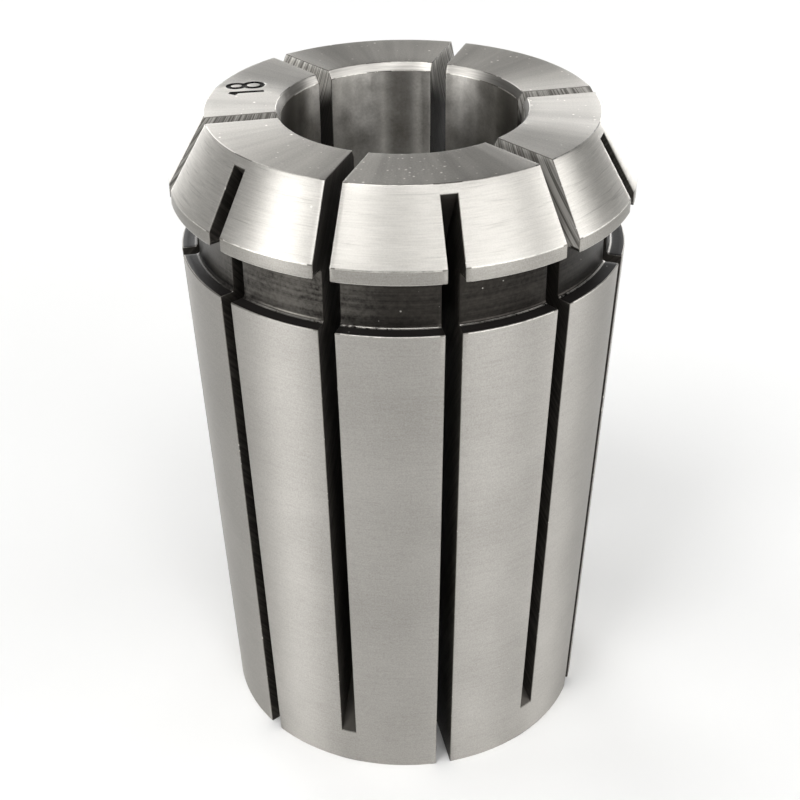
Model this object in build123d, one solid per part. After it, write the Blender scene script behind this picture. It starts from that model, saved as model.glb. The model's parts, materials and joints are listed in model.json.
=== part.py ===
from build123d import *
import os
from math import radians, sqrt, tan

# Spring collet with a slow taper of 1 in 10, made from one piece of hardened spring steel.
# It is turned, sawn from both ends in turn so that it can close on a shank, then ground.
# The axis is Z. The small end stands on Z = 0, and the clamping face is at the top.
# Sizes are millimetres and angles are degrees.

# Lengths along the axis, from the small end up
taper_length = 41.8
groove_width = 4.15
rim_height = 1.07
nose_length = 4.98

# Widths across the axis
flange_diameter = 35.05
rim_overhang = 1.78
shoulder_width = 1.22
bore_diameter = 18.0

# Angles and taper
taper_on_diameter = 0.1
nose_half_angle = 30.0

# Small forms
groove_root_radius = 0.3
mouth_half_angle = 30.0
mouth_depth = 0.63
tail_chamfer = 0.5
edge_break = 0.1

# Saw slots: each leaf is joined to one neighbour at the face and to the other at the tail, so the ring can close
slots_from_each_end = 6
first_face_slot = 15.0
slot_width = 1.2
tail_land = 3.3
face_land = 0.65
saw_diameter = 63.0
saw_overshoot = 1.0
saw_clearance = 1.0

# Sizes that follow
groove_base = taper_length
groove_top = groove_base + groove_width
nose_base = groove_top + rim_height
overall_length = nose_base + nose_length
flange_radius = flange_diameter / 2
groove_radius = flange_radius - rim_overhang
shoulder_radius = groove_radius + shoulder_width
tail_radius = shoulder_radius - taper_length * taper_on_diameter / 2
face_radius = flange_radius - nose_length * tan(radians(nose_half_angle))
bore_radius = bore_diameter / 2
mouth_radius = bore_radius + mouth_depth * tan(radians(mouth_half_angle))
saw_radius = saw_diameter / 2


def corners(face, points):
    """The corners of a flat face that stand at the given (radius, height) points."""
    return [v for v in face.vertices() if any(abs(v.X - r) + abs(v.Z - z) < 1e-6 for r, z in points)]


def turned_blank():
    """The blank as it leaves the lathe: taper, pull-off groove, rim, nose and through bore."""
    groove_roots = [(groove_radius, groove_base), (groove_radius, groove_top)]
    rim_corners = [(flange_radius, groove_top), (flange_radius, nose_base)]
    tail_corner = (tail_radius, 0)
    shoulder_corner = (shoulder_radius, groove_base)
    section = [
        (bore_radius + tail_chamfer, 0),
        tail_corner,
        shoulder_corner,
        *groove_roots,
        *rim_corners,
        (face_radius, overall_length),
        (mouth_radius, overall_length),
        (bore_radius, overall_length - mouth_depth),
        (bore_radius, tail_chamfer),
    ]
    half = Plane.XZ * make_face(Polyline(*section, close=True))
    half = fillet(corners(half, groove_roots), groove_root_radius)
    half = chamfer(corners(half, [*rim_corners, shoulder_corner, tail_corner]), edge_break)
    return revolve(half, Axis.Z)


def saw_slot(end_radius, end_height, open_height):
    """What one pass of the saw takes away, in the plane Y = 0 on the +X side.

    The blade enters at open_height, runs along the axis with its rim inside the bore, and stops
    where its rim leaves the outer surface at (end_radius, end_height), so the slot ends in an arc.
    """
    into_metal = 1 if open_height > end_height else -1
    reach = bore_radius - saw_overshoot
    hub_radius = reach + saw_radius
    hub_height = end_height + into_metal * sqrt(saw_radius**2 - (hub_radius - end_radius) ** 2)
    outside = flange_radius + saw_clearance

    def rim_point(radius):
        """The height at which the stopped blade's rim crosses a radius."""
        return hub_height - into_metal * sqrt(saw_radius**2 - (hub_radius - radius) ** 2)

    start = (reach, hub_height)
    middle = ((reach + outside) / 2, rim_point((reach + outside) / 2))
    end = (outside, rim_point(outside))
    arc = ThreePointArc(start, middle, end)
    sides = Polyline(end, (outside, open_height), (reach, open_height), start)
    swept = Plane.XZ * make_face([arc, sides])
    return extrude(swept, amount=slot_width / 2, both=True)


def spring_collet():
    """The blank with its slots sawn from the face and, halfway between them, from the tail."""
    tail_end_radius = tail_radius + tail_land * taper_on_diameter / 2
    face_end_radius = face_radius + face_land * tan(radians(nose_half_angle))
    from_face = saw_slot(tail_end_radius, tail_land, overall_length + saw_clearance)
    from_tail = saw_slot(face_end_radius, overall_length - face_land, -saw_clearance)
    first_tail_slot = first_face_slot + 180 / slots_from_each_end
    face_slots = [turn * from_face for turn in PolarLocations(0, slots_from_each_end, first_face_slot)]
    tail_slots = [turn * from_tail for turn in PolarLocations(0, slots_from_each_end, first_tail_slot)]
    return turned_blank() - [*face_slots, *tail_slots]


os.makedirs("parts", exist_ok=True)
export_step(spring_collet(), "parts/spring_collet.step")
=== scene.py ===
import json
import logging
from dataclasses import dataclass, field
from enum import Enum
from math import asin, cos, pi, radians, sin, sqrt, tan

import bmesh
import bpy
from mathutils import Euler, Matrix, Vector


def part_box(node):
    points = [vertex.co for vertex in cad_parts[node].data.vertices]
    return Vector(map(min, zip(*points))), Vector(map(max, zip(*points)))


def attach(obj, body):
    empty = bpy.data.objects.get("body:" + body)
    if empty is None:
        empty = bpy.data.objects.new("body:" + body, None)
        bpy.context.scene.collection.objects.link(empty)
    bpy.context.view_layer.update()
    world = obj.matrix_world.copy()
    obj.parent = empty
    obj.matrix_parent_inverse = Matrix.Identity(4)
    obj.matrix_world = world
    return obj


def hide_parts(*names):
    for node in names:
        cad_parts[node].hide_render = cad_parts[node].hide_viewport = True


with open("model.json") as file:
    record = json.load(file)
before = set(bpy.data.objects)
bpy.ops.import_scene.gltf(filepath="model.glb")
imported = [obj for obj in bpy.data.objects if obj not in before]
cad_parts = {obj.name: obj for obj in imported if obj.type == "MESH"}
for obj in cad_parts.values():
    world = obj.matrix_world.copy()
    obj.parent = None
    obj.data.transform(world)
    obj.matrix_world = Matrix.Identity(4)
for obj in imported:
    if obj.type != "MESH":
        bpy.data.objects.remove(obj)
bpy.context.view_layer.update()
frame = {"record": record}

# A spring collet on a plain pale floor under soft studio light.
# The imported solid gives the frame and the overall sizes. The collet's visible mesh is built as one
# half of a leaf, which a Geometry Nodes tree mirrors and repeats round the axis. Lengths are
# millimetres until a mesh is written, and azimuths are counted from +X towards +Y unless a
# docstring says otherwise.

log = logging.getLogger("collet_scene")

MM = 0.001
NODE = "spring_collet"
BODY = "root"
LEAVES = 6
HALF_LEAF = pi / LEAVES

Socket = bpy.types.NodeSocket
Node = bpy.types.Node
Tree = bpy.types.NodeTree
Place = Node | Socket

MATH = "ShaderNodeMath"
VECTOR = "ShaderNodeVectorMath"
MIX = "ShaderNodeMix"
RANGE = "ShaderNodeMapRange"
NOISE = "ShaderNodeTexNoise"

# A Mix node's input 0 is the share, 2 and 3 are the numbers that it mixes, 6 and 7 the colours.
# A noise pattern's values lie mostly between the ends of TONE.
TONE = {"From Min": 0.36, "From Max": 0.64}


def linear(colour: str) -> tuple[float, float, float, float]:
    """Turn an sRGB colour into the linear values that the shaders take.

    Args:
        colour: A hex colour such as "#c8c4bc".

    Returns:
        Linear red, green and blue, with an alpha of one.
    """
    shares = [int(colour[i : i + 2], 16) / 255 for i in (1, 3, 5)]
    curve = [s / 12.92 if s <= 0.04045 else ((s + 0.055) / 1.055) ** 2.4 for s in shares]
    return (*curve, 1.0)


def in_use(source: Place) -> Socket:
    """Give the socket that a link starts from, which for a node is its first output in use."""
    return source if isinstance(source, Socket) else next(o for o in source.outputs if o.enabled)


def add_node(tree: Tree, kind: str, inputs: dict | None = None, **settings) -> Node:
    """Add a node to a tree, with its settings made and its inputs linked or given.

    Args:
        tree: The tree that takes the node.
        kind: The node's Blender type name.
        inputs: Each input's name or number, with a node or socket to link or a value to set.
        settings: The node's own properties, such as operation="ADD".

    Returns:
        The new node.
    """
    node = tree.nodes.new(kind)
    for name, value in settings.items():
        setattr(node, name, value)
    for key, value in (inputs or {}).items():
        if isinstance(value, Place):
            tree.links.new(in_use(value), node.inputs[key])
        else:
            node.inputs[key].default_value = value
    return node


def evaluated_mesh(piece: bpy.types.Object) -> bpy.types.Mesh:
    """Give the mesh that a piece has with its modifiers, or its curve's bevel, worked out."""
    graph = bpy.context.evaluated_depsgraph_get()
    return bpy.data.meshes.new_from_object(
        piece.evaluated_get(graph), preserve_all_data_layers=True, depsgraph=graph
    )


def apply_modifiers(piece: bpy.types.Object) -> None:
    """Replace a piece's mesh by the result of its modifiers, and remove them."""
    mesh = evaluated_mesh(piece)
    piece.modifiers.clear()
    piece.data = mesh


def join_solids(piece: bpy.types.Object, other: bpy.types.Object, operation: str) -> None:
    """Combine a closed piece with another one, which is used up.

    Args:
        piece: The piece that is changed.
        other: The piece that is added or taken away.
        operation: "UNION" or "DIFFERENCE".
    """
    join = piece.modifiers.new("join", "BOOLEAN")
    join.operation = operation
    join.object = other
    join.solver = "EXACT"
    join.material_mode = "TRANSFER"
    apply_modifiers(piece)
    bpy.data.objects.remove(other)


class Surface(Enum):
    """How a stretch of the collet's surface was made. The number is kept on each face."""

    TAPER = 0
    CONE = 1
    FACE = 2
    GROOVE = 3
    BORE = 4
    SAWN = 5
    EDGE = 6
    MARK = 7
    MOUTH = 8
    RIM = 9


@dataclass(frozen=True)
class ColletSizes:
    """The collet's sizes in millimetres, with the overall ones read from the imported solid."""

    length: float
    rim_radius: float
    bore_radius: float
    taper_length: float = 41.8
    groove_width: float = 4.15
    rim_height: float = 1.07
    rim_overhang: float = 1.78
    shoulder_width: float = 1.22
    taper_per_side: float = 0.05
    nose_angle: float = radians(30)
    root_radius: float = 0.3
    mouth_angle: float = radians(30)
    mouth_depth: float = 0.63
    tail_chamfer: float = 0.5
    slot_width: float = 1.2
    tail_land: float = 3.3
    face_land: float = 0.65
    saw_radius: float = 31.5
    saw_overshoot: float = 1.0
    first_face_slot: float = radians(15)

    @property
    def groove_top(self) -> float:
        """Height of the rim's underside."""
        return self.taper_length + self.groove_width

    @property
    def nose_base(self) -> float:
        """Height at which the rim turns into the nose cone."""
        return self.groove_top + self.rim_height

    @property
    def groove_radius(self) -> float:
        """Radius at the bottom of the pull-off groove."""
        return self.rim_radius - self.rim_overhang

    @property
    def shoulder_radius(self) -> float:
        """Radius of the taper's large end."""
        return self.groove_radius + self.shoulder_width

    @property
    def tail_radius(self) -> float:
        """Radius of the taper's small end."""
        return self.shoulder_radius - self.taper_length * self.taper_per_side

    @property
    def face_radius(self) -> float:
        """Outer radius of the flat clamping face."""
        return self.cone_radius(self.length)

    @property
    def mouth_radius(self) -> float:
        """Radius at which the bore's mouth chamfer meets the clamping face."""
        return self.bore_radius + self.mouth_depth * tan(self.mouth_angle)

    def taper_radius(self, height: float) -> float:
        """Radius of the taper at a height."""
        return self.tail_radius + height * self.taper_per_side

    def cone_radius(self, height: float) -> float:
        """Radius of the nose cone at a height."""
        return self.rim_radius - (height - self.nose_base) * tan(self.nose_angle)


@dataclass(frozen=True)
class SawRunOut:
    """The arc in which a saw slot ends, in the slot's middle plane.

    The saw's hub stands outside the collet, so the arc reaches further along the outer surface
    than it does in the bore. into_metal is +1 for a slot that is open upwards and -1 for one that
    is open downwards.
    """

    sizes: ColletSizes
    end_radius: float
    end_height: float
    into_metal: int

    @property
    def hub_radius(self) -> float:
        """Distance from the collet's axis to the saw's hub."""
        return self.sizes.bore_radius - self.sizes.saw_overshoot + self.sizes.saw_radius

    def drop(self, radius: float) -> float:
        """Height between the hub and the saw's rim at a radius."""
        return sqrt(self.sizes.saw_radius**2 - (self.hub_radius - radius) ** 2)

    def height(self, radius: float) -> float:
        """Height of the arc at a radius."""
        return self.end_height + self.into_metal * (self.drop(self.end_radius) - self.drop(radius))

    @property
    def bore_height(self) -> float:
        """Height at which the arc comes out in the bore."""
        return self.height(self.sizes.bore_radius)


@dataclass(frozen=True)
class Run:
    """A stretch of the collet's half section between two corners.

    face_slot and tail_slot say whether the slots that are open at the face and at the tail cut
    this stretch. corner is how far the edge at its start is broken, in millimetres, and
    slot_corner is the same for its edges along the slots.
    """

    start: tuple[float, float]
    surface: Surface
    steps: int = 1
    face_slot: bool = True
    tail_slot: bool = True
    corner: float = 0.0
    slot_corner: float = 0.045
    arc_centre: tuple[float, float] | None = None


@dataclass(frozen=True)
class Station:
    """One point of the half section, with the run that follows it."""

    radius: float
    height: float
    run: Run
    corner: float


@dataclass
class HalfLeaf:
    """Half of one leaf, from the middle of a face slot to the middle of the next tail slot."""

    sizes: ColletSizes
    panel_columns: int = 20
    strip_columns: int = 2
    arc_steps: int = 14
    slot_edge: float = 0.045
    widest_break: float = 0.32
    mesh: bmesh.types.BMesh = field(default_factory=bmesh.new)
    corners: dict = field(default_factory=dict)

    @property
    def last_wall(self) -> int:
        """Column of the tail slot's wall. The face slot's wall is at strip_columns."""
        return self.strip_columns + self.panel_columns

    @property
    def columns(self) -> int:
        """Number of columns of faces from one slot's middle to the next."""
        return self.strip_columns + self.last_wall

    def __post_init__(self) -> None:
        """Work out the run-outs and the stations from the sizes."""
        s = self.sizes
        face_end = s.length - s.face_land
        self.low_end = SawRunOut(s, s.taper_radius(s.tail_land), s.tail_land, 1)
        self.high_end = SawRunOut(s, s.cone_radius(face_end), face_end, -1)
        self.stations = self.section()
        self.surface_layer = self.mesh.faces.layers.int.new("surface")
        self.break_layer = self.mesh.edges.layers.float.new("bevel_weight_edge")

    def runs(self) -> list[Run]:
        """List the half section's runs, up the outside and down the bore."""
        s = self.sizes
        low, high, root = self.low_end, self.high_end, s.root_radius
        in_root = s.groove_radius + root
        base, top, mouth_base = s.taper_length, s.groove_top, s.length - s.mouth_depth
        # From here outwards the rim's corners at the slots are rounded most
        rounded = s.rim_radius - 0.9
        return [
            Run((s.bore_radius + s.tail_chamfer, 0), Surface.FACE, 4, face_slot=False, corner=0.05),
            Run((s.tail_radius, 0), Surface.TAPER, 2, face_slot=False, corner=0.09),
            Run((low.end_radius, low.end_height), Surface.TAPER, 14),
            Run((s.shoulder_radius, base), Surface.GROOVE, 2, corner=0.09),
            Run((in_root, base), Surface.GROOVE, 4, arc_centre=(in_root, base + root)),
            Run((s.groove_radius, base + root), Surface.GROOVE, 4),
            Run((s.groove_radius, top - root), Surface.GROOVE, 4, arc_centre=(in_root, top - root)),
            Run((in_root, top), Surface.GROOVE, 1, slot_corner=0.16),
            Run((rounded, top), Surface.GROOVE, 2, slot_corner=self.widest_break),
            Run((s.rim_radius, top), Surface.RIM, 2, corner=0.09),
            Run((s.rim_radius, s.nose_base), Surface.CONE, 5, corner=0.06),
            Run((high.end_radius, high.end_height), Surface.CONE, 1, tail_slot=False),
            Run((s.face_radius, s.length), Surface.FACE, 6, tail_slot=False, corner=0.055),
            Run((s.mouth_radius, s.length), Surface.MOUTH, 1, tail_slot=False, corner=0.045),
            Run((s.bore_radius, mouth_base), Surface.BORE, 5, tail_slot=False, corner=0.045),
            Run((s.bore_radius, high.bore_height), Surface.BORE, 8),
            Run((s.bore_radius, low.bore_height), Surface.BORE, 5, face_slot=False),
            Run((s.bore_radius, s.tail_chamfer), Surface.BORE, 1, face_slot=False, corner=0.05),
        ]

    def section(self) -> list[Station]:
        """Divide the runs into stations."""
        runs = self.runs()
        stations = []
        for run, after in zip(runs, runs[1:] + runs[:1]):
            (r0, z0), (r1, z1) = run.start, after.start
            for step in range(run.steps):
                share = step / run.steps
                radius, height = r0 + (r1 - r0) * share, z0 + (z1 - z0) * share
                if run.arc_centre:
                    centre = Vector(run.arc_centre)
                    spoke = Vector((radius, height)) - centre
                    radius, height = centre + spoke.normalized() * self.sizes.root_radius
                stations.append(Station(radius, height, run, run.corner if step == 0 else 0.0))
        return stations

    def azimuths(self, radius: float) -> list[float]:
        """List the azimuths of all columns at a radius, from one slot's middle to the next."""
        edge = asin(self.sizes.slot_width / 2 / radius)
        strip = [edge * k / self.strip_columns for k in range(self.strip_columns)]
        span = HALF_LEAF - 2 * edge
        panel = [edge + span * k / self.panel_columns for k in range(self.panel_columns + 1)]
        return [*strip, *panel, *(HALF_LEAF - a for a in reversed(strip))]

    def corner(self, row: int, column: int) -> bmesh.types.BMVert:
        """Give the vertex at a station and a column, which is made when it is first asked for."""
        row %= len(self.stations)
        if (row, column) not in self.corners:
            station = self.stations[row]
            azimuth = self.azimuths(station.radius)[column]
            place = (station.radius * cos(azimuth), station.radius * sin(azimuth), station.height)
            self.corners[row, column] = self.mesh.verts.new(place)
        return self.corners[row, column]

    def add_face(self, corners: list[bmesh.types.BMVert], surface: Surface) -> None:
        """Add a face that knows how its surface was made."""
        self.mesh.faces.new(corners)[self.surface_layer] = surface.value

    def break_edges(self, line: list[bmesh.types.BMVert | None], widths: list[float]) -> None:
        """Mark the edges along a line of vertices to be broken, where there are such edges.

        Args:
            line: The vertices, with None where the line has a gap.
            widths: How far each edge is broken, in millimetres.
        """
        for a, b, width in zip(line, line[1:], widths):
            edge = self.mesh.edges.get((a, b)) if a and b else None
            if edge:
                edge[self.break_layer] = max(edge[self.break_layer], width / self.widest_break)

    def skin(self) -> None:
        """Add the turned surfaces, which the slots interrupt, and mark their edges."""
        for row, station in enumerate(self.stations):
            for column in range(self.columns):
                in_face_slot = column < self.strip_columns and station.run.face_slot
                in_tail_slot = column >= self.last_wall and station.run.tail_slot
                if in_face_slot or in_tail_slot:
                    continue
                around = [(row, column), (row, column + 1), (row + 1, column + 1), (row + 1, column)]
                self.add_face([self.corner(*c) for c in around], station.run.surface)

    def wall(self, rows: range, column: int, run_out: SawRunOut, flip: bool) -> None:
        """Add a slot's side wall and half of its curved end.

        Args:
            rows: The stations that the slot opens, counted past the last one where they wrap round.
            column: The column that the slot's edge follows.
            run_out: The arc in which the slot ends.
            flip: Whether the slot is the one at the far side of the half leaf.
        """
        s = self.sizes
        half = s.slot_width / 2
        turn = Matrix.Rotation(HALF_LEAF if flip else 0, 3, "Z")
        side = -1 if flip else 1
        outer_row, bore_row = (rows[-1], rows[0]) if flip else (rows[0], rows[-1])
        floor = []
        for step in range(self.arc_steps + 1):
            share = step / self.arc_steps
            radius = run_out.end_radius + (s.bore_radius - run_out.end_radius) * share
            if step in (0, self.arc_steps):
                row = outer_row if step == 0 else bore_row
                steps = range(self.strip_columns, -1, -1)
                line = [self.corner(row, column + side * (k - self.strip_columns)) for k in steps]
                floor.append(line[::-1])
            else:
                ys = [side * half * k / self.strip_columns for k in range(self.strip_columns + 1)]
                height = run_out.height(radius)
                floor.append([self.mesh.verts.new(turn @ Vector((radius, y, height))) for y in ys])
        for near, far in zip(floor, floor[1:]):
            for k in range(self.strip_columns):
                face = [near[k], near[k + 1], far[k + 1], far[k]]
                self.add_face(face, Surface.SAWN)
        arc = [line[-1] for line in floor[1:-1]]
        rim = [self.corner(row, column) for row in rows]
        outline = [*rim, *(arc if flip else reversed(arc))]
        self.add_face(outline[::-1] if flip else outline, Surface.SAWN)
        stations = [self.stations[row % len(self.stations)] for row in rows]
        self.break_edges(rim, [station.run.slot_corner for station in stations])
        for line in (floor[0], floor[-1]):
            self.break_edges(line, [self.slot_edge] * len(line))

    def build(self) -> bpy.types.Mesh:
        """Make the half leaf.

        Returns:
            A mesh in metres, open at the two planes where its neighbours join it.
        """
        self.skin()
        first, last = self.strip_columns, self.last_wall
        rows = {(t.radius, t.height): row for row, t in enumerate(self.stations)}
        low, high, bore = self.low_end, self.high_end, self.sizes.bore_radius
        low_outside, low_inside = rows[low.end_radius, low.end_height], rows[bore, low.bore_height]
        high_outside, high_inside = rows[high.end_radius, high.end_height], rows[bore, high.bore_height]
        self.wall(range(low_outside, low_inside + 1), first, low, flip=False)
        self.wall(range(high_inside, high_outside + len(self.stations) + 1), last, high, flip=True)
        for row, station in enumerate(self.stations):
            if station.corner:
                made = [self.corners.get((row, column)) for column in range(self.columns + 1)]
                self.break_edges(made, [station.corner] * self.columns)
        mesh = bpy.data.meshes.new("half_leaf")
        bmesh.ops.scale(self.mesh, vec=(MM, MM, MM), verts=self.mesh.verts)
        self.mesh.to_mesh(mesh)
        self.mesh.free()
        mesh.shade_smooth()
        return mesh


class FinishTree:
    """The nodes of one finish. Its patterns read Object coordinates, turned to millimetres."""

    def __init__(self, name: str) -> None:
        """Start a material and work out where a point lies on the turned surface.

        Args:
            name: The name of the material and finish.
        """
        self.material = bpy.data.materials.new(name)
        self.material.use_nodes = True
        self.tree = self.material.node_tree
        self.shader = self.tree.nodes["Principled BSDF"]
        metres = add_node(self.tree, "ShaderNodeTexCoord").outputs["Object"]
        self.place = add_node(self.tree, VECTOR, {0: metres, "Scale": 1 / MM}, operation="SCALE")
        flat = add_node(self.tree, VECTOR, {0: self.place, 1: (1, 1, 0)}, operation="MULTIPLY")
        self.outward = add_node(self.tree, VECTOR, {0: flat}, operation="NORMALIZE")
        self.radius = add_node(self.tree, VECTOR, {0: flat}, operation="LENGTH")
        parts = add_node(self.tree, "ShaderNodeSeparateXYZ", {0: self.place})
        self.height = parts.outputs["Z"]
        x_and_y = {0: parts.outputs["Y"], 1: parts.outputs["X"]}
        self.azimuth = add_node(self.tree, MATH, x_and_y, operation="ARCTAN2")

    def marks(self, across: Place, spacing: float, length: float, at_radius: float) -> Node:
        """Draw the marks that a wheel or a tool leaves as it runs round the axis.

        Args:
            across: The coordinate that grows across the marks, in millimetres.
            spacing: Millimetres from mark to mark.
            length: Millimetres before one mark fades into the next.
            at_radius: The radius at which that length holds.

        Returns:
            A value about 0.5.
        """
        tree = self.tree
        turned = add_node(tree, VECTOR, {0: self.outward, "Scale": at_radius / length}, operation="SCALE")
        step = add_node(tree, MATH, {0: across, 1: spacing}, operation="DIVIDE")
        lift = add_node(tree, "ShaderNodeCombineXYZ", {"Z": step})
        where = add_node(tree, VECTOR, {0: turned, 1: lift}, operation="ADD")
        return add_node(tree, NOISE, {"Vector": where, "Scale": 1, "Detail": 3, "Roughness": 0.6})

    def fan(self, spacing: float, at_radius: float) -> Node:
        """Draw soft streaks that run straight away from the axis, or up a bore.

        Args:
            spacing: Millimetres from streak to streak.
            at_radius: The radius at which that spacing holds.

        Returns:
            A value about 0.5.
        """
        tree = self.tree
        change_per_mm = 0.12
        turned = add_node(tree, VECTOR, {0: self.outward, "Scale": at_radius / spacing}, operation="SCALE")
        change = add_node(tree, MATH, {0: self.radius, 1: change_per_mm}, operation="MULTIPLY")
        lift = add_node(tree, "ShaderNodeCombineXYZ", {"Z": change})
        where = add_node(tree, VECTOR, {0: turned, 1: lift}, operation="ADD")
        return add_node(tree, NOISE, {"Vector": where, "Scale": 1, "Detail": 2, "Roughness": 0.5})

    def mottle(self, size: float, coarse: float = 0.0, share: float = 0.5) -> Node:
        """Draw the uneven grain of the metal's surface, fine grain over coarse clouds.

        Args:
            size: Millimetres across one fine fleck.
            coarse: Millimetres across one cloud, which is ten flecks where it isn't given.
            share: How much of the pattern the clouds make, from 0 to 1.

        Returns:
            A value about 0.5.
        """
        fine = {"Vector": self.place, "Scale": 1 / size, "Detail": 3, "Roughness": 0.65}
        cloud = {"Vector": self.place, "Scale": 1 / (coarse or 10 * size), "Detail": 2, "Roughness": 0.5}
        both = {0: share, 2: add_node(self.tree, NOISE, fine), 3: add_node(self.tree, NOISE, cloud)}
        return add_node(self.tree, MIX, both)

    def specks(self, size: float, share: float) -> Node:
        """Draw scattered small specks.

        Args:
            size: Millimetres from one cell of the pattern to the next.
            share: How much of each cell a speck may fill, from 0 to 1.

        Returns:
            1 in a speck and 0 elsewhere.
        """
        tree = self.tree
        cells = add_node(tree, "ShaderNodeTexVoronoi", {"Vector": self.place, "Scale": 1 / size})
        pick = add_node(tree, "ShaderNodeSeparateColor", {0: cells.outputs["Color"]})
        # The power leaves most cells without a speck that shows
        rare = add_node(tree, MATH, {0: pick, 1: 4.0}, operation="POWER")
        reach = add_node(tree, MATH, {0: rare, 1: share}, operation="MULTIPLY")
        edges = {"Value": cells.outputs["Distance"], "From Min": reach, "From Max": 0.0}
        return add_node(tree, RANGE, edges, interpolation_type="SMOOTHSTEP")

    def hairlines(self, size: float, width: float, rarity: float) -> Node:
        """Draw fine curved scratches, which lie where a slow pattern crosses its middle.

        Args:
            size: Millimetres over which a scratch bends.
            width: The share of that size that a scratch is wide.
            rarity: How much of the surface is free of scratches, from 0 to 1.

        Returns:
            1 on a scratch and 0 elsewhere.
        """
        tree = self.tree
        winding = add_node(tree, NOISE, {"Vector": self.place, "Scale": 1 / size, "Detail": 0})
        off_line = add_node(tree, MATH, {0: winding, 1: 0.5, 2: width}, operation="COMPARE")
        # Moved away, so that the free patches don't follow the scratches
        moved = add_node(tree, VECTOR, {0: self.place, 1: (31.0, 17.0, 5.0)}, operation="ADD")
        patch = add_node(tree, NOISE, {"Vector": moved, "Scale": 1.3 / size, "Detail": 0})
        kept = add_node(tree, RANGE, {"Value": patch, "From Min": rarity, "From Max": rarity + 0.04})
        return add_node(tree, MATH, {0: off_line, 1: kept}, operation="MULTIPLY")

    def near_slots(self, reach: float, fade: float) -> Node:
        """Find the strips along the saw slots.

        Args:
            reach: Millimetres from a slot's middle plane to where the strip starts to fade.
            fade: Millimetres over which it fades.

        Returns:
            1 beside a slot and 0 elsewhere.
        """
        tree = self.tree
        half_pitch = HALF_LEAF / 2
        turned = add_node(tree, MATH, {0: self.azimuth, 1: 2 * pi - half_pitch}, operation="ADD")
        off_slot = add_node(tree, MATH, {0: turned, 1: half_pitch}, operation="PINGPONG")
        apart = add_node(tree, MATH, {0: off_slot, 1: self.radius}, operation="MULTIPLY")
        return add_node(tree, RANGE, {"Value": apart, "From Min": reach + fade, "From Max": reach})

    def upright_band(self, azimuth: float, half_width: float) -> Node:
        """Find a broad upright band on a turned surface.

        Args:
            azimuth: Degrees from +X to the band's middle.
            half_width: Degrees from its middle to where it is about half as strong.

        Returns:
            1 in the band's middle and 0 outside it.
        """
        toward = (cos(radians(azimuth)), sin(radians(azimuth)), 0)
        facing = add_node(self.tree, VECTOR, {0: self.outward, 1: toward}, operation="DOT_PRODUCT")
        edges = {"From Min": cos(radians(half_width * 1.3)), "From Max": cos(radians(half_width * 0.4))}
        return add_node(self.tree, RANGE, {"Value": facing} | edges, interpolation_type="SMOOTHSTEP")

    def coated(self, base: str | Node, *coats: tuple[Node, str | Node]) -> Node:
        """Lay coats of colour over one another.

        Args:
            base: The colour under them, as sRGB hex or as a node.
            coats: Each coat's mask, which is 1 where it covers, with its colour.

        Returns:
            The colour with all its coats.
        """
        colour = linear(base) if isinstance(base, str) else base
        for mask, tint in coats:
            over = linear(tint) if isinstance(tint, str) else tint
            colour = add_node(self.tree, MIX, {0: mask, 6: colour, 7: over}, data_type="RGBA")
        return colour

    def raise_by(self, *layers: tuple[Node, float]) -> None:
        """Raise the surface by patterns.

        Args:
            layers: Each pattern with the millimetres that it raises the surface where it is 1.
        """
        height = None
        for pattern, lift in layers:
            parts = {0: pattern, 1: lift} if height is None else {0: pattern, 1: lift, 2: height}
            work = "MULTIPLY" if height is None else "MULTIPLY_ADD"
            height = add_node(self.tree, MATH, parts, operation=work)
        bump = add_node(self.tree, "ShaderNodeBump", {"Height": height, "Distance": MM, "Strength": 1.0})
        self.tree.links.new(bump.outputs[0], self.shader.inputs["Normal"])

    def metal(
        self, colour: Node, uneven: Node, roughness: tuple[float, float], anisotropy: float = 0.0
    ) -> bpy.types.Material:
        """Make the shader a bare metal whose highlight is drawn out across the tool marks.

        Args:
            colour: The metal's colour.
            uneven: The pattern that its roughness follows.
            roughness: The roughness where that pattern is 0.3 and where it is 0.7.
            anisotropy: How far the tool marks draw out a highlight, from 0 to 1.

        Returns:
            The finished material.
        """
        self.shader.inputs["Metallic"].default_value = 1.0
        self.shader.inputs["Anisotropic"].default_value = anisotropy
        up = add_node(self.tree, "ShaderNodeCombineXYZ", {2: 1.0})
        across = add_node(self.tree, VECTOR, {0: up, 1: self.outward}, operation="SUBTRACT")
        self.tree.links.new(across.outputs[0], self.shader.inputs["Tangent"])
        self.tree.links.new(in_use(colour), self.shader.inputs["Base Color"])
        ends = {"Value": uneven, "From Min": 0.3, "From Max": 0.7}
        rough = add_node(self.tree, RANGE, ends | {"To Min": roughness[0], "To Max": roughness[1]})
        self.tree.links.new(rough.outputs[0], self.shader.inputs["Roughness"])
        return self.material


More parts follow.
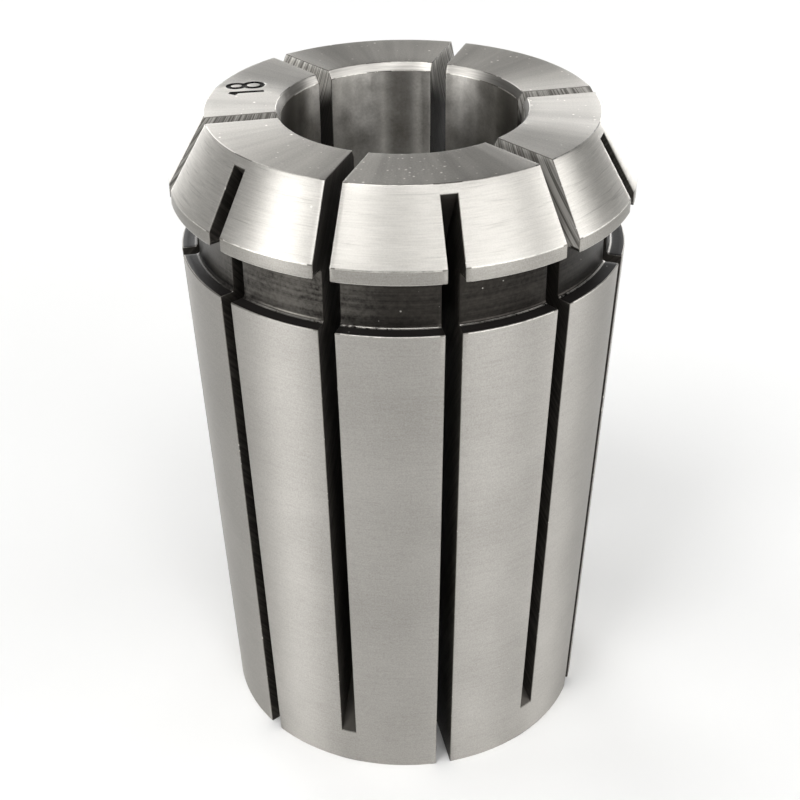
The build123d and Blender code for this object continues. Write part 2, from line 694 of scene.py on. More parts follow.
@dataclass(frozen=True)
class GroundSteel:
    """Hardened spring steel, cylindrically ground: a grey satin with fine marks round the axis.

    The wheel's marks scatter light along the axis, so that a highlight becomes an upright band.
    The deepest marks are dark lines a few millimetres long. Real marks are about 0.02 mm apart,
    too fine to show, so they are drawn mark_spacing apart.
    """

    name: str
    dark: str = "#9c9994"
    light: str = "#b8b5b0"
    deep_mark: str = "#77746f"
    hairline: str = "#6f6b66"
    speck: str = "#f2efe9"
    roughness: tuple[float, float] = (0.40, 0.52)
    anisotropy: float = 0.85
    radius: float = 17.5
    mark_spacing: float = 0.16
    mark_length: float = 2.5
    mark_share: float = 0.18
    mark_relief: float = 0.003
    deep_share: float = 0.08
    grain_size: float = 0.11
    speck_share: float = 0.05
    hairline_share: float = 0.3
    hairline_rarity: float = 0.74

    def build(self) -> bpy.types.Material:
        """Make the finish, with marks, grain, specks and a few hairline scratches."""
        at = FinishTree(self.name)
        tree = at.tree
        fine = at.marks(at.height, self.mark_spacing, self.mark_length, self.radius)
        grain = at.mottle(self.grain_size, coarse=7.0, share=0.3)
        both = add_node(tree, MIX, {0: self.mark_share, 2: grain, 3: fine})
        tone = add_node(tree, RANGE, {"Value": both} | TONE)
        # The deepest marks are longer than the others, and further apart
        long_marks = at.marks(at.height, self.mark_spacing * 1.3, self.mark_length * 2.2, self.radius)
        deep = add_node(tree, RANGE, {"Value": long_marks, "From Min": 0.6, "From Max": 0.68})
        faint = add_node(tree, MATH, {0: deep, 1: self.deep_share}, operation="MULTIPLY")
        hairs = at.hairlines(size=6.0, width=0.0035, rarity=self.hairline_rarity)
        soft = add_node(tree, MATH, {0: hairs, 1: self.hairline_share}, operation="MULTIPLY")
        specks = at.specks(size=1.3, share=self.speck_share)
        coats = [(tone, self.light), (faint, self.deep_mark), (soft, self.hairline), (specks, self.speck)]
        at.raise_by((fine, self.mark_relief), (grain, 0.004), (deep, -0.002))
        return at.metal(at.coated(self.dark, *coats), both, self.roughness, self.anisotropy)


@dataclass(frozen=True)
class FacedSteel:
    """Hardened spring steel, faced and ground flat: rings round the bore under a fine grain.

    The rings scatter light outwards, so that the face shows two bright and two dark sectors, with
    straight streaks in the bright ones. White specks are painted glints of tiny pits, and they crowd
    about one azimuth. Two sides are painted brighter, a painted highlight for the bright sectors of
    the rings' reflection. All are given by azimuth and half width in degrees. Real rings are about
    0.02 mm apart and are drawn coarser, to show.
    """

    name: str
    dark: str = "#9f9c97"
    light: str = "#bdbab4"
    speck: str = "#fbf8f2"
    roughness: tuple[float, float] = (0.42, 0.5)
    anisotropy: float = 0.9
    radius: float = 12.0
    # Painted glints: the white specks crowd about this side
    glint_crowd_side: tuple[float, float] = (273, 24)
    # Painted highlight: the colours and sides of the two sectors painted brighter
    painted_sheen_dark: str = "#dedbd5"
    painted_sheen_light: str = "#faf7f1"
    painted_sheen_sides: tuple[tuple[float, float], ...] = ((150, 24), (327, 20))

    def build(self) -> bpy.types.Material:
        """Make the finish, with rings, a fan of streaks, grain, painted highlights and painted glints."""
        at = FinishTree(self.name)
        tree = at.tree
        rings = at.marks(at.radius, spacing=0.16, length=7.0, at_radius=self.radius)
        streaks = at.fan(spacing=0.55, at_radius=self.radius)
        grain = at.mottle(0.13, coarse=5.0, share=0.25)
        both = add_node(tree, MIX, {0: 0.32, 2: grain, 3: streaks})
        tone = add_node(tree, RANGE, {"Value": both} | TONE)
        # Painted highlight: two sides painted brighter, for the bright sectors of the rings' reflection
        painted_sheen = at.coated(self.painted_sheen_dark, (tone, self.painted_sheen_light))
        sides = [(at.upright_band(*side), painted_sheen) for side in self.painted_sheen_sides]
        # Painted glints: bright specks of tiny pits, with more of them about one side
        crowd = {0: at.specks(size=0.3, share=0.5), 1: at.upright_band(*self.glint_crowd_side)}
        crowd = add_node(tree, MATH, crowd, operation="MULTIPLY")
        specks = {0: at.specks(size=0.5, share=0.34), 1: crowd}
        specks = add_node(tree, MATH, specks, operation="MAXIMUM")
        colour = at.coated(self.dark, (tone, self.light), *sides, (specks, self.speck))
        at.raise_by((rings, 0.002), (grain, 0.006), (specks, 0.015))
        return at.metal(colour, both, self.roughness, self.anisotropy)


@dataclass(frozen=True)
class HeatScale:
    """Turned steel left dark by hardening: a thin brown-black scale, worn to metal in specks.

    The small fillet above the shoulder carries a painted highlight on one side, and another side of
    the scale is painted lighter, as painted light. Both sides are given by azimuth and half width in
    degrees. The flat shoulder has the thickest scale. The lathe's feed was about 0.1 mm, and its
    rings are drawn three times as far apart, to show.
    """

    name: str
    scale: str = "#1f1d1c"
    worn: str = "#423f3b"
    bare: str = "#d2cfc9"
    # Colours of the painted light patch and of the fillet's painted highlight
    painted_light_patch: str = "#6b6863"
    painted_fillet_highlight: str = "#b8b5af"
    roughness: tuple[float, float] = (0.27, 0.42)
    anisotropy: float = 0.35
    radius: float = 15.7
    # The sides of the painted light patch and of the fillet's painted highlight
    painted_light_side: tuple[float, float] = (238, 26)
    fillet_highlight_side: tuple[float, float] = (295, 58)
    shoulder_top: float = 41.81
    fillet_height: float = 41.85
    fillet_reach: float = 0.035

    def build(self) -> bpy.types.Material:
        """Make the finish, with rings, scale, specks, painted light and the fillet's painted highlight."""
        at = FinishTree(self.name)
        tree = at.tree
        rings = at.marks(at.height, spacing=0.3, length=14.0, at_radius=self.radius)
        mottle = at.mottle(0.3, coarse=4.0, share=0.45)
        both = add_node(tree, MIX, {0: 0.6, 2: rings, 3: mottle})
        tone = add_node(tree, RANGE, {"Value": both, "From Min": 0.36, "From Max": 0.66})
        # Painted light: one side of the scale painted lighter
        lit_patch = {0: at.upright_band(*self.painted_light_side), 1: tone}
        lit_patch = add_node(tree, MATH, lit_patch, operation="MULTIPLY")
        shoulder = {0: at.height, 1: self.shoulder_top}
        shoulder = add_node(tree, MATH, shoulder, operation="LESS_THAN")
        specks = at.specks(size=0.7, share=0.16)
        # Painted highlight: a thin bright line on the fillet, on one side only
        line = {0: at.height, 1: self.fillet_height, 2: self.fillet_reach}
        line = add_node(tree, MATH, line, operation="COMPARE")
        whole = add_node(tree, RANGE, {"Value": mottle, "From Min": 0.4, "From Max": 0.48})
        for mask in (whole, at.upright_band(*self.fillet_highlight_side)):
            line = add_node(tree, MATH, {0: line, 1: mask}, operation="MULTIPLY")
        coats = [(tone, self.worn), (lit_patch, self.painted_light_patch), (shoulder, self.scale), (specks, self.bare)]
        colour = at.coated(self.scale, *coats, (line, self.painted_fillet_highlight))
        at.raise_by((rings, 0.01), (mottle, 0.012), (specks, 0.01))
        at.metal(colour, both, self.roughness, self.anisotropy)
        # The shoulder's thick scale is no metal and has hardly any shine
        bare = add_node(tree, RANGE, {"Value": shoulder, "To Min": 1.0, "To Max": 0.0})
        tree.links.new(in_use(bare), at.shader.inputs["Metallic"])
        at.shader.inputs["Specular IOR Level"].default_value = 0.15
        return at.material


@dataclass(frozen=True)
class SawnSteel:
    """The walls of the saw slots: black with oil and scale, and painted light in the mouths at the face.

    The saw's teeth leave ridges that follow its rim, so they are arcs about the saw's hub. They
    run steeply in the bore and at half a right angle near the outer surface. Real ridges are about
    0.1 mm apart and are drawn ridge_spacing apart, to show. The mouths are painted lighter, painted
    light that falls in at the openings, and it reaches lower by lit_mouth_lean for each millimetre
    outwards from the bore. One slot gets painted shade in place of it and one gets all of it, both
    given by azimuth and half width in degrees. The others lose lit_mouth_dimming of it.
    """

    name: str
    sizes: ColletSizes
    black: str = "#34312d"
    ridge: str = "#4c4843"
    # Colours of the painted light in the slots' mouths
    lit_mouth_dark: str = "#8a8781"
    lit_mouth_light: str = "#f6f3ed"
    roughness: tuple[float, float] = (0.5, 0.65)
    ridge_spacing: float = 0.3
    ridge_length: float = 6.0
    lit_mouth_from: float = 49.3
    lit_mouth_to: float = 51.3
    lit_mouth_lean: float = 0.6
    # The slot with painted shade and the slot with the full painted light
    painted_shade_slot: tuple[float, float] = (255, 24)
    fully_lit_slot: tuple[float, float] = (135, 28)
    lit_mouth_dimming: float = 0.36

    def ridges(self, at: FinishTree, side: Node) -> Node:
        """Draw the arcs that the saw's teeth leave.

        Args:
            at: The finish's tree.
            side: 1 in the slots that are open at the face, and -1 in those open at the tail.

        Returns:
            A value about 0.5.
        """
        tree = at.tree
        saw = self.sizes.saw_radius
        hub = self.sizes.bore_radius - self.sizes.saw_overshoot + saw
        off_hub = add_node(tree, MATH, {0: hub, 1: at.radius}, operation="SUBTRACT")
        square = add_node(tree, MATH, {0: off_hub, 1: 2.0}, operation="POWER")
        under = add_node(tree, MATH, {0: saw**2, 1: square}, operation="SUBTRACT")
        drop = add_node(tree, MATH, {0: under}, operation="SQRT")
        across = add_node(tree, MATH, {0: drop, 1: side, 2: at.height}, operation="MULTIPLY_ADD")
        step = add_node(tree, MATH, {0: across, 1: self.ridge_spacing}, operation="DIVIDE")
        along = add_node(tree, MATH, {0: at.radius, 1: self.ridge_length}, operation="DIVIDE")
        flat = add_node(tree, "ShaderNodeCombineXYZ", {"X": along, "Z": step})
        # Each slot has ridges of its own
        spread = add_node(tree, VECTOR, {0: at.outward, "Scale": 4.0}, operation="SCALE")
        where = add_node(tree, VECTOR, {0: spread, 1: flat}, operation="ADD")
        return add_node(tree, NOISE, {"Vector": where, "Scale": 1, "Detail": 3, "Roughness": 0.65})

    def lit_mouth_share(self, at: FinishTree, side: Node) -> Node:
        """Find where the slots' mouths are painted lighter, as painted light falling in at the openings.

        Args:
            at: The finish's tree.
            side: 1 in the slots that are open at the face, and -1 in those open at the tail.

        Returns:
            The share of painted light, from 0 to 1.
        """
        tree = at.tree
        out = add_node(tree, MATH, {0: at.radius, 1: self.sizes.bore_radius}, operation="SUBTRACT")
        lean = {0: out, 1: self.lit_mouth_lean, 2: at.height}
        lean = add_node(tree, MATH, lean, operation="MULTIPLY_ADD")
        ends = {"Value": lean, "From Min": self.lit_mouth_from, "From Max": self.lit_mouth_to}
        share = add_node(tree, RANGE, ends, interpolation_type="SMOOTHSTEP")
        share = add_node(tree, MATH, {0: share, 1: side}, operation="MULTIPLY", use_clamp=True)
        # Painted shade: this slot gets none of the painted light
        oil = at.upright_band(*self.painted_shade_slot)
        share = add_node(tree, MATH, {0: share, 1: oil}, operation="SUBTRACT", use_clamp=True)
        # Painted light: this slot gets all of it, and the others lose lit_mouth_dimming of it
        clear = {"Value": at.upright_band(*self.fully_lit_slot), "To Min": 1 - self.lit_mouth_dimming}
        clear = add_node(tree, RANGE, clear)
        return add_node(tree, MATH, {0: share, 1: clear}, operation="MULTIPLY")

    def build(self) -> bpy.types.Material:
        """Make the finish, with tooth marks and painted light in the mouths towards the face."""
        at = FinishTree(self.name)
        tree = at.tree
        turns = add_node(tree, MATH, {0: at.azimuth, 1: LEAVES}, operation="MULTIPLY")
        wave = add_node(tree, MATH, {0: turns}, operation="SINE")
        side = add_node(tree, MATH, {0: wave}, operation="SIGN")
        ridges = self.ridges(at, side)
        tone = add_node(tree, RANGE, {"Value": ridges, "From Min": 0.42, "From Max": 0.62})
        # Painted light in the mouths of the face slots
        share = self.lit_mouth_share(at, side)
        lit_mouth = at.coated(self.lit_mouth_dark, (tone, self.lit_mouth_light))
        colour = at.coated(self.black, (tone, self.ridge), (share, lit_mouth))
        grain = at.mottle(0.15)
        at.raise_by((ridges, 0.02), (grain, 0.01))
        at.metal(colour, grain, self.roughness)
        # Where the mouths get painted light, the wall scatters light more as a matt surface than as a
        # mirror
        metallic = add_node(tree, RANGE, {"Value": share, "To Min": 0.7, "To Max": 0.2})
        tree.links.new(in_use(metallic), at.shader.inputs["Metallic"])
        return at.material


@dataclass(frozen=True)
class HonedSteel:
    """The ground and honed bore: darker than the outside, with painted shade in soft upright bands.

    The bands are painted shade, darker upright bands in the bore's reflection. Each is given by its
    azimuth and half width in degrees, and by the share of the light that it takes. The stone's real
    marks are about 0.02 mm apart and are drawn coarser, to show.
    """

    name: str
    dark: str = "#aeaba5"
    light: str = "#e6e3dd"
    # Colour of the painted shade
    painted_shade: str = "#4e4b47"
    roughness: tuple[float, float] = (0.3, 0.42)
    anisotropy: float = 0.8
    radius: float = 9.0
    bands: tuple[tuple[float, float, float], ...] = (
        (94, 7, 0.55),
        (174, 22, 0.8),
        (22, 15, 0.6),
        (236, 9, 0.4),
        (305, 14, 0.5),
    )

    def build(self) -> bpy.types.Material:
        """Make the finish, with fine marks round the axis and broad upright bands of painted shade."""
        at = FinishTree(self.name)
        tree = at.tree
        fine = at.marks(at.height, spacing=0.25, length=6.0, at_radius=self.radius)
        streaks = at.fan(spacing=1.3, at_radius=self.radius)
        grain = at.mottle(0.22, coarse=1.6, share=0.6)
        both = add_node(tree, MIX, {0: 0.4, 2: grain, 3: streaks})
        coats = [(add_node(tree, RANGE, {"Value": both} | TONE), self.light)]
        # Painted shade: darker upright bands in the bore
        for azimuth, half_width, share in self.bands:
            band = {0: at.upright_band(azimuth, half_width), 1: share}
            coats.append((add_node(tree, MATH, band, operation="MULTIPLY"), self.painted_shade))
        at.raise_by((fine, 0.004), (grain, 0.006))
        return at.metal(at.coated(self.dark, *coats), both, self.roughness, self.anisotropy)


@dataclass(frozen=True)
class MouthSteel:
    """The chamfer at the bore's mouth, ground bright on one side and stained with oil elsewhere.

    The painted highlight's side is given by its azimuth and half width in degrees. The wheel's real
    marks are about 0.02 mm apart and are drawn coarser, to show.
    """

    name: str
    dark: str = "#c6c3bd"
    light: str = "#e0ddd7"
    painted_shade: str = "#4e4b47"
    roughness: tuple[float, float] = (0.41, 0.45)
    anisotropy: float = 0.85
    radius: float = 9.2
    # The side of the painted highlight
    painted_highlight_side: tuple[float, float] = (100, 64)

    def build(self) -> bpy.types.Material:
        """Make the finish, with fine marks round the axis."""
        at = FinishTree(self.name)
        fine = at.marks(at.height, spacing=0.12, length=3.0, at_radius=self.radius)
        tone = add_node(at.tree, RANGE, {"Value": fine} | TONE)
        ground = at.coated(self.dark, (tone, self.light))
        # Painted highlight on one side, painted shade elsewhere
        colour = at.coated(self.painted_shade, (at.upright_band(*self.painted_highlight_side), ground))
        at.raise_by((fine, 0.004))
        return at.metal(colour, fine, self.roughness, self.anisotropy)


@dataclass(frozen=True)
class DeburredEdge:
    """A corner broken by hand with a stone: a thin bright line, dulled where the scale covers it.

    Along the saw slots the stone only touched the burr here and there, so those edges are dull
    with bright bits. The shoulder's edge carries a painted highlight on one side, which is given by
    its azimuth and half width in degrees, and is dull elsewhere.
    """

    name: str
    bright: str = "#d8d5cf"
    dull: str = "#a8a59f"
    scaled: str = "#2a2825"
    slot_edge: str = "#7d7a75"
    roughness: tuple[float, float] = (0.28, 0.45)
    groove: tuple[float, float] = (41.85, 46.0)
    shoulder_reach: float = 0.2
    # The side of the shoulder edge's painted highlight
    painted_highlight_side: tuple[float, float] = (295, 58)

    def build(self) -> bpy.types.Material:
        """Make the finish, bright on turned edges, dull at the slots and dark in the groove."""
        at = FinishTree(self.name)
        tree = at.tree
        low, high = self.groove
        uneven = at.mottle(0.4, coarse=3.0, share=0.3)
        tone = add_node(tree, RANGE, {"Value": uneven, "From Min": 0.35, "From Max": 0.65})
        missed = add_node(tree, RANGE, {"Value": uneven, "From Min": 0.66, "From Max": 0.6})
        beside = at.near_slots(reach=0.95, fade=0.08)
        patchy = add_node(tree, MATH, {0: missed, 1: beside}, operation="MULTIPLY")
        # Painted highlight: the shoulder's edge keeps its bright colour on one side only
        shoulder = {0: at.height, 1: low, 2: self.shoulder_reach}
        shoulder = add_node(tree, MATH, shoulder, operation="COMPARE")
        side = {0: shoulder, 1: at.upright_band(*self.painted_highlight_side)}
        outside_highlight = add_node(tree, MATH, side, operation="SUBTRACT", use_clamp=True)
        above = add_node(tree, MATH, {0: at.height, 1: low}, operation="GREATER_THAN")
        below = add_node(tree, MATH, {0: at.height, 1: high}, operation="LESS_THAN")
        in_groove = add_node(tree, MATH, {0: above, 1: below}, operation="MULTIPLY")
        coats = [(tone, self.bright), (patchy, self.slot_edge), (outside_highlight, self.slot_edge)]
        colour = at.coated(self.dull, *coats, (in_groove, self.scaled))
        at.raise_by((uneven, 0.01))
        return at.metal(colour, uneven, self.roughness)


@dataclass(frozen=True)
class EngravedMark:
    """The floor of an engraved stroke: burnt dark by the engraving tool, and dull."""

    name: str
    dark: str = "#161412"
    worn: str = "#3f3c38"
    roughness: tuple[float, float] = (0.56, 0.64)

    def build(self) -> bpy.types.Material:
        """Make the finish, mottled where the burnt layer is thin."""
        at = FinishTree(self.name)
        mottle = at.mottle(0.2)
        tone = add_node(at.tree, RANGE, {"Value": mottle, "From Min": 0.42, "From Max": 0.62})
        at.raise_by((mottle, 0.02))
        return at.metal(at.coated(self.dark, (tone, self.worn)), mottle, self.roughness)


@dataclass(frozen=True)
class PaleFloor:
    """A plain matt studio floor, painted off white, with a faint roller stipple."""

    name: str
    colour: str = "#fbfbfa"

    def build(self) -> bpy.types.Material:
        """Make the finish, with a stipple too low to cast shadows."""
        at = FinishTree(self.name)
        at.raise_by((at.mottle(2.5), 0.02))
        at.shader.inputs["Base Color"].default_value = linear(self.colour)
        at.shader.inputs["Roughness"].default_value = 0.7
        at.shader.inputs["Specular IOR Level"].default_value = 0.2
        return at.material


@dataclass(frozen=True)
class SizeMark:
    """The bore's size as a plain number, engraved on the clamping face over the middle of a leaf.

    The digits are drawn in millimetres, each on its own base line, with x to the reader's right.
    """

    sizes: ColletSizes
    radius: float = 12.35
    azimuth: float = radians(166.7)
    tilt: float = radians(25.4)
    digit_height: float = 2.6
    digit_width: float = 1.15
    pitch: float = 1.4
    stroke_width: float = 0.4
    depth: float = 0.1

    def loop(self, centre_y: float, width: float, height: float) -> list[tuple[float, float]]:
        """Give the points of a closed oval stroke."""
        steps = 28
        turns = [2 * pi * k / steps for k in range(steps)]
        return [(width / 2 * sin(t), centre_y + height / 2 * cos(t)) for t in turns]

    def strokes(self) -> list[tuple[float, list[tuple[float, float]], bool]]:
        """List the strokes of the digits 1 and 8.

        Returns:
            For each stroke, its digit's offset to the right, its points, and whether it closes.
        """
        tall, wide = self.digit_height, self.digit_width
        waist = 0.53 * tall
        flag = (-0.35 * wide, 0.8 * tall)
        upper_width = 0.85 * wide
        return [
            (-self.pitch / 2, [(0, 0), (0, tall)], False),
            (-self.pitch / 2, [flag, (0, tall)], False),
            (self.pitch / 2, self.loop(waist / 2, wide, waist), True),
            (self.pitch / 2, self.loop((waist + tall) / 2, upper_width, tall - waist), True),
        ]

    def stroke(self, place: Matrix, points: list[tuple[float, float]], closes: bool) -> bpy.types.Object:
        """Make what one stroke of the round-nosed engraving tool takes away.

        Args:
            place: The transform from the digit's own plane to the collet, in millimetres.
            points: The stroke's line.
            closes: Whether the line closes on itself.

        Returns:
            A closed tube, sunk into the face by the engraving's depth.
        """
        nose = self.stroke_width**2 / 8 / self.depth + self.depth / 2
        line = bpy.data.curves.new("stroke", "CURVE")
        line.dimensions = "3D"
        line.bevel_depth = nose * MM
        line.bevel_resolution = 3
        line.use_fill_caps = True
        spline = line.splines.new("POLY")
        spline.points.add(len(points) - 1)
        for point, (x, y) in zip(spline.points, points):
            point.co = (*(place @ Vector((x, y, nose - self.depth)) * MM), 1)
        spline.use_cyclic_u = closes
        drawn = bpy.data.objects.new("stroke_line", line)
        bpy.context.scene.collection.objects.link(drawn)
        mesh = evaluated_mesh(drawn)
        mesh.materials.clear()
        bpy.data.objects.remove(drawn)
        stroke = bpy.data.objects.new("stroke", mesh)
        bpy.context.scene.collection.objects.link(stroke)
        return stroke

    def cutter(self) -> bpy.types.Object:
        """Join the strokes of all digits into one closed cutter.

        Returns:
            The cutter's object.
        """
        middle = Matrix.Translation((self.radius, 0, self.sizes.length))
        tilted = Matrix.Rotation(self.tilt - pi / 2, 4, "Z")
        place = Matrix.Rotation(self.azimuth, 4, "Z") @ middle @ tilted
        made = []
        for offset, points, closes in self.strokes():
            digit = place @ Matrix.Translation((offset, -self.digit_height / 2, 0))
            made.append(self.stroke(digit, points, closes))
        cutter, *others = made
        for other in others:
            join_solids(cutter, other, "UNION")
        return cutter


@dataclass
class ColletBody:
    """The whole collet, made of half leaves that a Geometry Nodes tree mirrors and repeats."""

    sizes: ColletSizes
    materials: dict[Surface, bpy.types.Material]
    weld: float = 0.001
    sharp_angle: float = radians(40)

    def ring_tree(self) -> Tree:
        """Build the tree that turns one half leaf into the ring of leaves.

        Returns:
            A geometry tree with the inputs Leaves, Weld distance and First face slot.
        """
        tree = bpy.data.node_groups.new("ring_of_leaves", "GeometryNodeTree")
        tree.interface.new_socket("Half leaf", in_out="INPUT", socket_type="NodeSocketGeometry")
        leaves = tree.interface.new_socket("Leaves", in_out="INPUT", socket_type="NodeSocketInt")
        weld = tree.interface.new_socket("Weld distance", in_out="INPUT", socket_type="NodeSocketFloat")
        first = tree.interface.new_socket("First face slot", in_out="INPUT", socket_type="NodeSocketFloat")
        leaves.default_value, weld.default_value = LEAVES, self.weld * MM
        first.default_value = self.sizes.first_face_slot
        tree.interface.new_socket("Collet", in_out="OUTPUT", socket_type="NodeSocketGeometry")
        given = add_node(tree, "NodeGroupInput").outputs
        mirrored = add_node(tree, "GeometryNodeTransform", {"Geometry": given[0], "Scale": (1, -1, 1)})
        flipped = add_node(tree, "GeometryNodeFlipFaces", {"Mesh": mirrored})
        leaf = add_node(tree, "GeometryNodeJoinGeometry", {"Geometry": given[0]})
        tree.links.new(flipped.outputs[0], leaf.inputs[0])
        places = add_node(tree, "GeometryNodePoints", {"Count": given[1]})
        pitch = add_node(tree, MATH, {0: 2 * pi, 1: given[1]}, operation="DIVIDE")
        index = add_node(tree, "GeometryNodeInputIndex")
        azimuth = add_node(tree, MATH, {0: index, 1: pitch, 2: given[3]}, operation="MULTIPLY_ADD")
        euler = add_node(tree, "ShaderNodeCombineXYZ", {"Z": azimuth})
        turn = add_node(tree, "FunctionNodeEulerToRotation", {0: euler})
        spread = {"Points": places, "Instance": leaf, "Rotation": turn}
        ring = add_node(tree, "GeometryNodeInstanceOnPoints", spread)
        real = add_node(tree, "GeometryNodeRealizeInstances", {0: ring})
        dressed = add_node(tree, "GeometryNodeMergeByDistance", {"Geometry": real, "Distance": given[2]})
        surface = add_node(tree, "GeometryNodeInputNamedAttribute", {"Name": "surface"}, data_type="INT")
        for kind, material in self.materials.items():
            same = {2: surface, 3: kind.value}
            chosen = add_node(tree, "FunctionNodeCompare", same, data_type="INT", operation="EQUAL")
            finish = {"Geometry": dressed, "Selection": chosen, "Material": material}
            dressed = add_node(tree, "GeometryNodeSetMaterial", finish)
        add_node(tree, "NodeGroupOutput", {0: dressed})
        return tree

    def ring(self, half_leaf: bpy.types.Mesh) -> bpy.types.Object:
        """Repeat the half leaf round the axis.

        Args:
            half_leaf: The half leaf's mesh.

        Returns:
            The closed ring of leaves.
        """
        for surface in Surface:
            half_leaf.materials.append(self.materials[surface])
        piece = bpy.data.objects.new("collet_body", half_leaf)
        bpy.context.scene.collection.objects.link(piece)
        ring = piece.modifiers.new("ring of leaves", "NODES")
        ring.node_group = self.ring_tree()
        for item in ring.node_group.interface.items_tree:
            if item.item_type == "SOCKET" and item.in_out == "INPUT" and hasattr(item, "default_value"):
                ring[item.identifier] = item.default_value
        apply_modifiers(piece)
        return piece

    def break_edges(self, piece: bpy.types.Object, widest: float) -> None:
        """Round a piece's edges by the weights that they carry.

        Args:
            piece: The piece that is changed.
            widest: Millimetres at the full weight.
        """
        breaks = piece.modifiers.new("edge breaks", "BEVEL")
        breaks.limit_method = "WEIGHT"
        breaks.width = widest * MM
        breaks.segments = 3
        breaks.use_clamp_overlap = False
        breaks.material = Surface.EDGE.value
        apply_modifiers(piece)

    def engrave(self, piece: bpy.types.Object) -> None:
        """Cut the number into the face, and give its strokes their finish."""
        join_solids(piece, SizeMark(self.sizes).cutter(), "DIFFERENCE")
        # The cutter has no finish, so what it cuts comes out with the first one, the taper's
        for face in piece.data.polygons:
            if face.material_index == Surface.TAPER.value and face.center.z > self.sizes.nose_base * MM:
                face.material_index = Surface.MARK.value

    def build(self) -> bpy.types.Object:
        """Make the collet's piece, with broken edges and even shading."""
        half_leaf = HalfLeaf(self.sizes)
        piece = self.ring(half_leaf.build())
        self.break_edges(piece, half_leaf.widest_break)
        self.engrave(piece)
        piece.data.set_sharp_from_angle(angle=self.sharp_angle)
        even = piece.modifiers.new("even shading", "WEIGHTED_NORMAL")
        even.keep_sharp = True
        apply_modifiers(piece)
        for unused in list(piece.data.uv_layers):
            piece.data.uv_layers.remove(unused)
        piece.data.name = "collet_body"
        return piece


@dataclass(frozen=True)
class PhotoView:
    """The viewpoint, found by fitting a camera to the collet's edges.

    Places are millimetres in a frame that faces the viewer, and turn is the angle about the axis
    from that frame to the collet's own.
    """

    back: float = 110.465
    height: float = 94.037
    pitch: float = radians(-31.462)
    yaw: float = radians(-0.186)
    roll: float = radians(-0.464)
    turn: float = radians(3.3)
    focal_length: float = 70.87
    sensor: float = 36.0
    nearest: float = 5.0
    farthest: float = 20000.0
    aim: Vector = Vector((0, 0, 26))

    def bearing(self, azimuth: float, elevation: float, distance: float) -> Vector:
        """Give a point by its direction as the viewer sees it.

        Args:
            azimuth: Degrees from the viewer's side, growing to the viewer's right.
            elevation: Degrees above the floor.
            distance: Millimetres from the frame's origin.

        Returns:
            The point in the collet's frame, in metres.
        """
        a, e = radians(azimuth), radians(elevation)
        seen = Vector((sin(a) * cos(e), -cos(a) * cos(e), sin(e)))
        return Matrix.Rotation(self.turn, 3, "Z") @ seen * distance * MM

    def build(self) -> None:
        """Make the camera and give it to the scene."""
        data = bpy.data.cameras.new("photo_view")
        data.lens = self.focal_length
        data.sensor_width = self.sensor
        data.clip_start, data.clip_end = self.nearest * MM, self.farthest * MM
        camera = bpy.data.objects.new("photo_view", data)
        level = Euler((pi / 2 + self.pitch, 0, self.turn - self.yaw)).to_matrix()
        camera.matrix_world = (level @ Matrix.Rotation(self.roll, 3, "Z")).to_4x4()
        camera.location = Matrix.Rotation(self.turn, 3, "Z") @ Vector((0, -self.back, self.height)) * MM
        bpy.context.scene.collection.objects.link(camera)
        bpy.context.scene.camera = camera


@dataclass(frozen=True)
class Softbox:
    """A soft light that faces the collet, as wide and high as it looks from there.

    Angles are degrees, as the viewer sees them.
    """

    name: str
    azimuth: float
    elevation: float
    span: float
    rise: float
    radiance: float
    distance: float = 2500.0

    def build(self, view: PhotoView) -> None:
        """Make the light.

        Args:
            view: The viewpoint from which the azimuth is counted.
        """
        across = 2 * self.distance * MM
        data = bpy.data.lights.new(self.name, "AREA")
        data.shape = "RECTANGLE"
        data.size = across * tan(radians(self.span / 2)) * cos(radians(self.elevation))
        data.size_y = across * tan(radians(self.rise / 2))
        data.energy = self.radiance * pi * data.size * data.size_y
        lamp = bpy.data.objects.new(self.name, data)
        lamp.location = view.bearing(self.azimuth, self.elevation, self.distance)
        aim = view.aim * MM - lamp.location
        lamp.rotation_euler = aim.to_track_quat("-Z", "Y").to_euler()
        lamp.visible_camera = False
        bpy.context.scene.collection.objects.link(lamp)


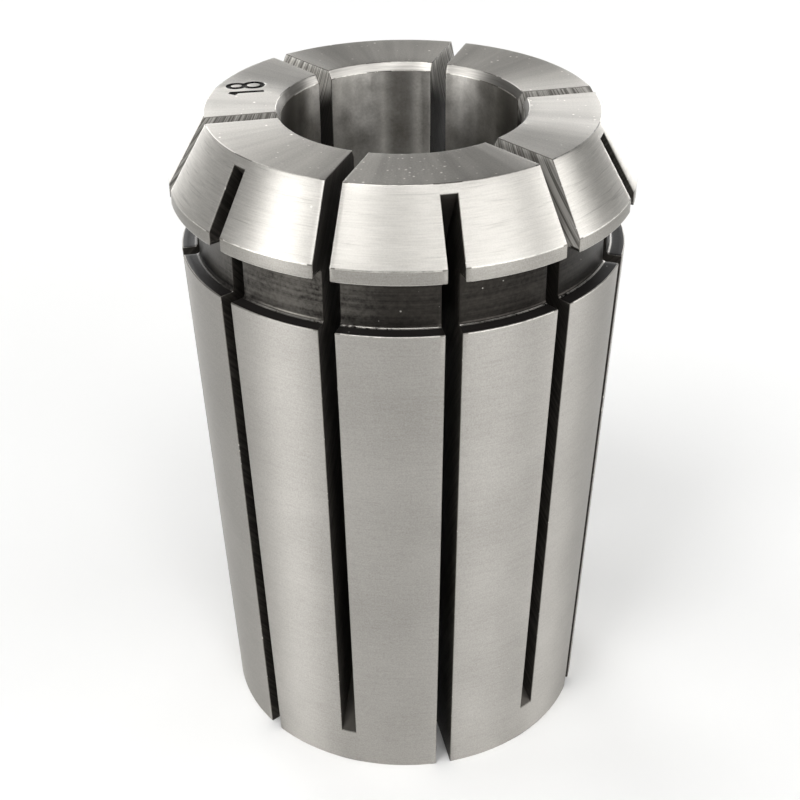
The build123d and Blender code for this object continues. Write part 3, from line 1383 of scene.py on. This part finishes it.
@dataclass(frozen=True)
class Studio:
    """The pale floor, the soft lights and the even surroundings."""

    view: PhotoView
    floor_size: float = 4800.0
    surroundings: float = 0.12
    backdrop: float = 0.93
    boxes: tuple[Softbox, ...] = (
        Softbox("left_key", -60, 9, 24, 23, 8.0),
        Softbox("left_front", -30, 31, 15, 23, 0.5),
        Softbox("top_left", -34, 55, 24, 23, 9.0),
        Softbox("top_left_side", -98, 55, 28, 23, 3.0),
        Softbox("top_front", -8, 55, 22, 23, 2.5),
        Softbox("top_right", 16, 55, 22, 23, 6.0),
        Softbox("right_key", 42, 9, 34, 23, 4.0),
        Softbox("right_fill", 46, 31, 54, 23, 1.5),
        Softbox("right_side", 86, 9, 26, 23, 5.0),
        Softbox("right_side_top", 88, 48, 40, 46, 0.5),
        Softbox("back_left", 205, 20, 25, 46, 3.5),
        Softbox("back_right", 155, 9, 25, 23, 5.5),
        Softbox("back", 180, 9, 25, 23, 1.0),
    )

    def build(self) -> None:
        """Make the floor, the lights and the world."""
        half = self.floor_size / 2 * MM
        corners = [(-half, -half, 0), (half, -half, 0), (half, half, 0), (-half, half, 0)]
        mesh = bpy.data.meshes.new("floor")
        mesh.from_pydata(corners, [], [(0, 1, 2, 3)])
        floor = bpy.data.objects.new("floor", mesh)
        bpy.context.scene.collection.objects.link(floor)
        mesh.materials.append(PaleFloor("off_white_floor_paint").build())
        for box in self.boxes:
            box.build(self.view)
        world = bpy.data.worlds.new("studio")
        world.use_nodes = True
        tree = world.node_tree
        seen = add_node(tree, "ShaderNodeLightPath").outputs["Is Camera Ray"]
        strength = add_node(tree, MIX, {0: seen, 2: self.surroundings, 3: self.backdrop})
        dim = {"Color": linear("#ffffff"), "Strength": strength}
        background = add_node(tree, "ShaderNodeBackground", dim)
        tree.links.new(background.outputs[0], tree.nodes["World Output"].inputs["Surface"])
        bpy.context.scene.world = world


def main() -> None:
    """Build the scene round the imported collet."""
    logging.basicConfig(level=logging.INFO, format="%(name)s: %(message)s")
    view = PhotoView()
    view.build()
    low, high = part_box(NODE)
    bore = next(m for m in frame["record"]["mounts"] if m["name"] == "shank_bore")
    sizes = ColletSizes(
        length=(high.z - low.z) / MM,
        rim_radius=(high.x - low.x) / 2 / MM,
        bore_radius=bore["dims"]["r_mm"],
    )
    finishes = {
        Surface.TAPER: GroundSteel("ground_taper_steel"),
        Surface.CONE: GroundSteel(
            "ground_cone_steel", "#c6c3bd", "#dedbd5", "#8d8a85", mark_spacing=0.1, mark_length=2.0,
            mark_share=0.5, deep_share=0.3, mark_relief=0.001, speck_share=0.14, hairline_rarity=0.95,
        ),
        Surface.FACE: FacedSteel("faced_end_steel"),
        Surface.GROOVE: HeatScale("hardening_scale"),
        Surface.BORE: HonedSteel("honed_bore_steel"),
        Surface.SAWN: SawnSteel("sawn_slot_steel", sizes),
        Surface.EDGE: DeburredEdge("deburred_edge_steel"),
        Surface.MARK: EngravedMark("engraved_mark_oxide"),
        Surface.MOUTH: MouthSteel("ground_mouth_steel"),
        Surface.RIM: GroundSteel("ground_rim_steel", "#93908b", "#b0ada7"),
    }
    materials = {surface: finish.build() for surface, finish in finishes.items()}
    body = ColletBody(sizes, materials).build()
    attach(body, BODY)
    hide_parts(NODE)
    log.info("%s: %d faces", body.name, len(body.data.polygons))
    Studio(view).build()
    bpy.context.scene.view_settings.view_transform = "Standard"


if __name__ == "__main__":
    main()
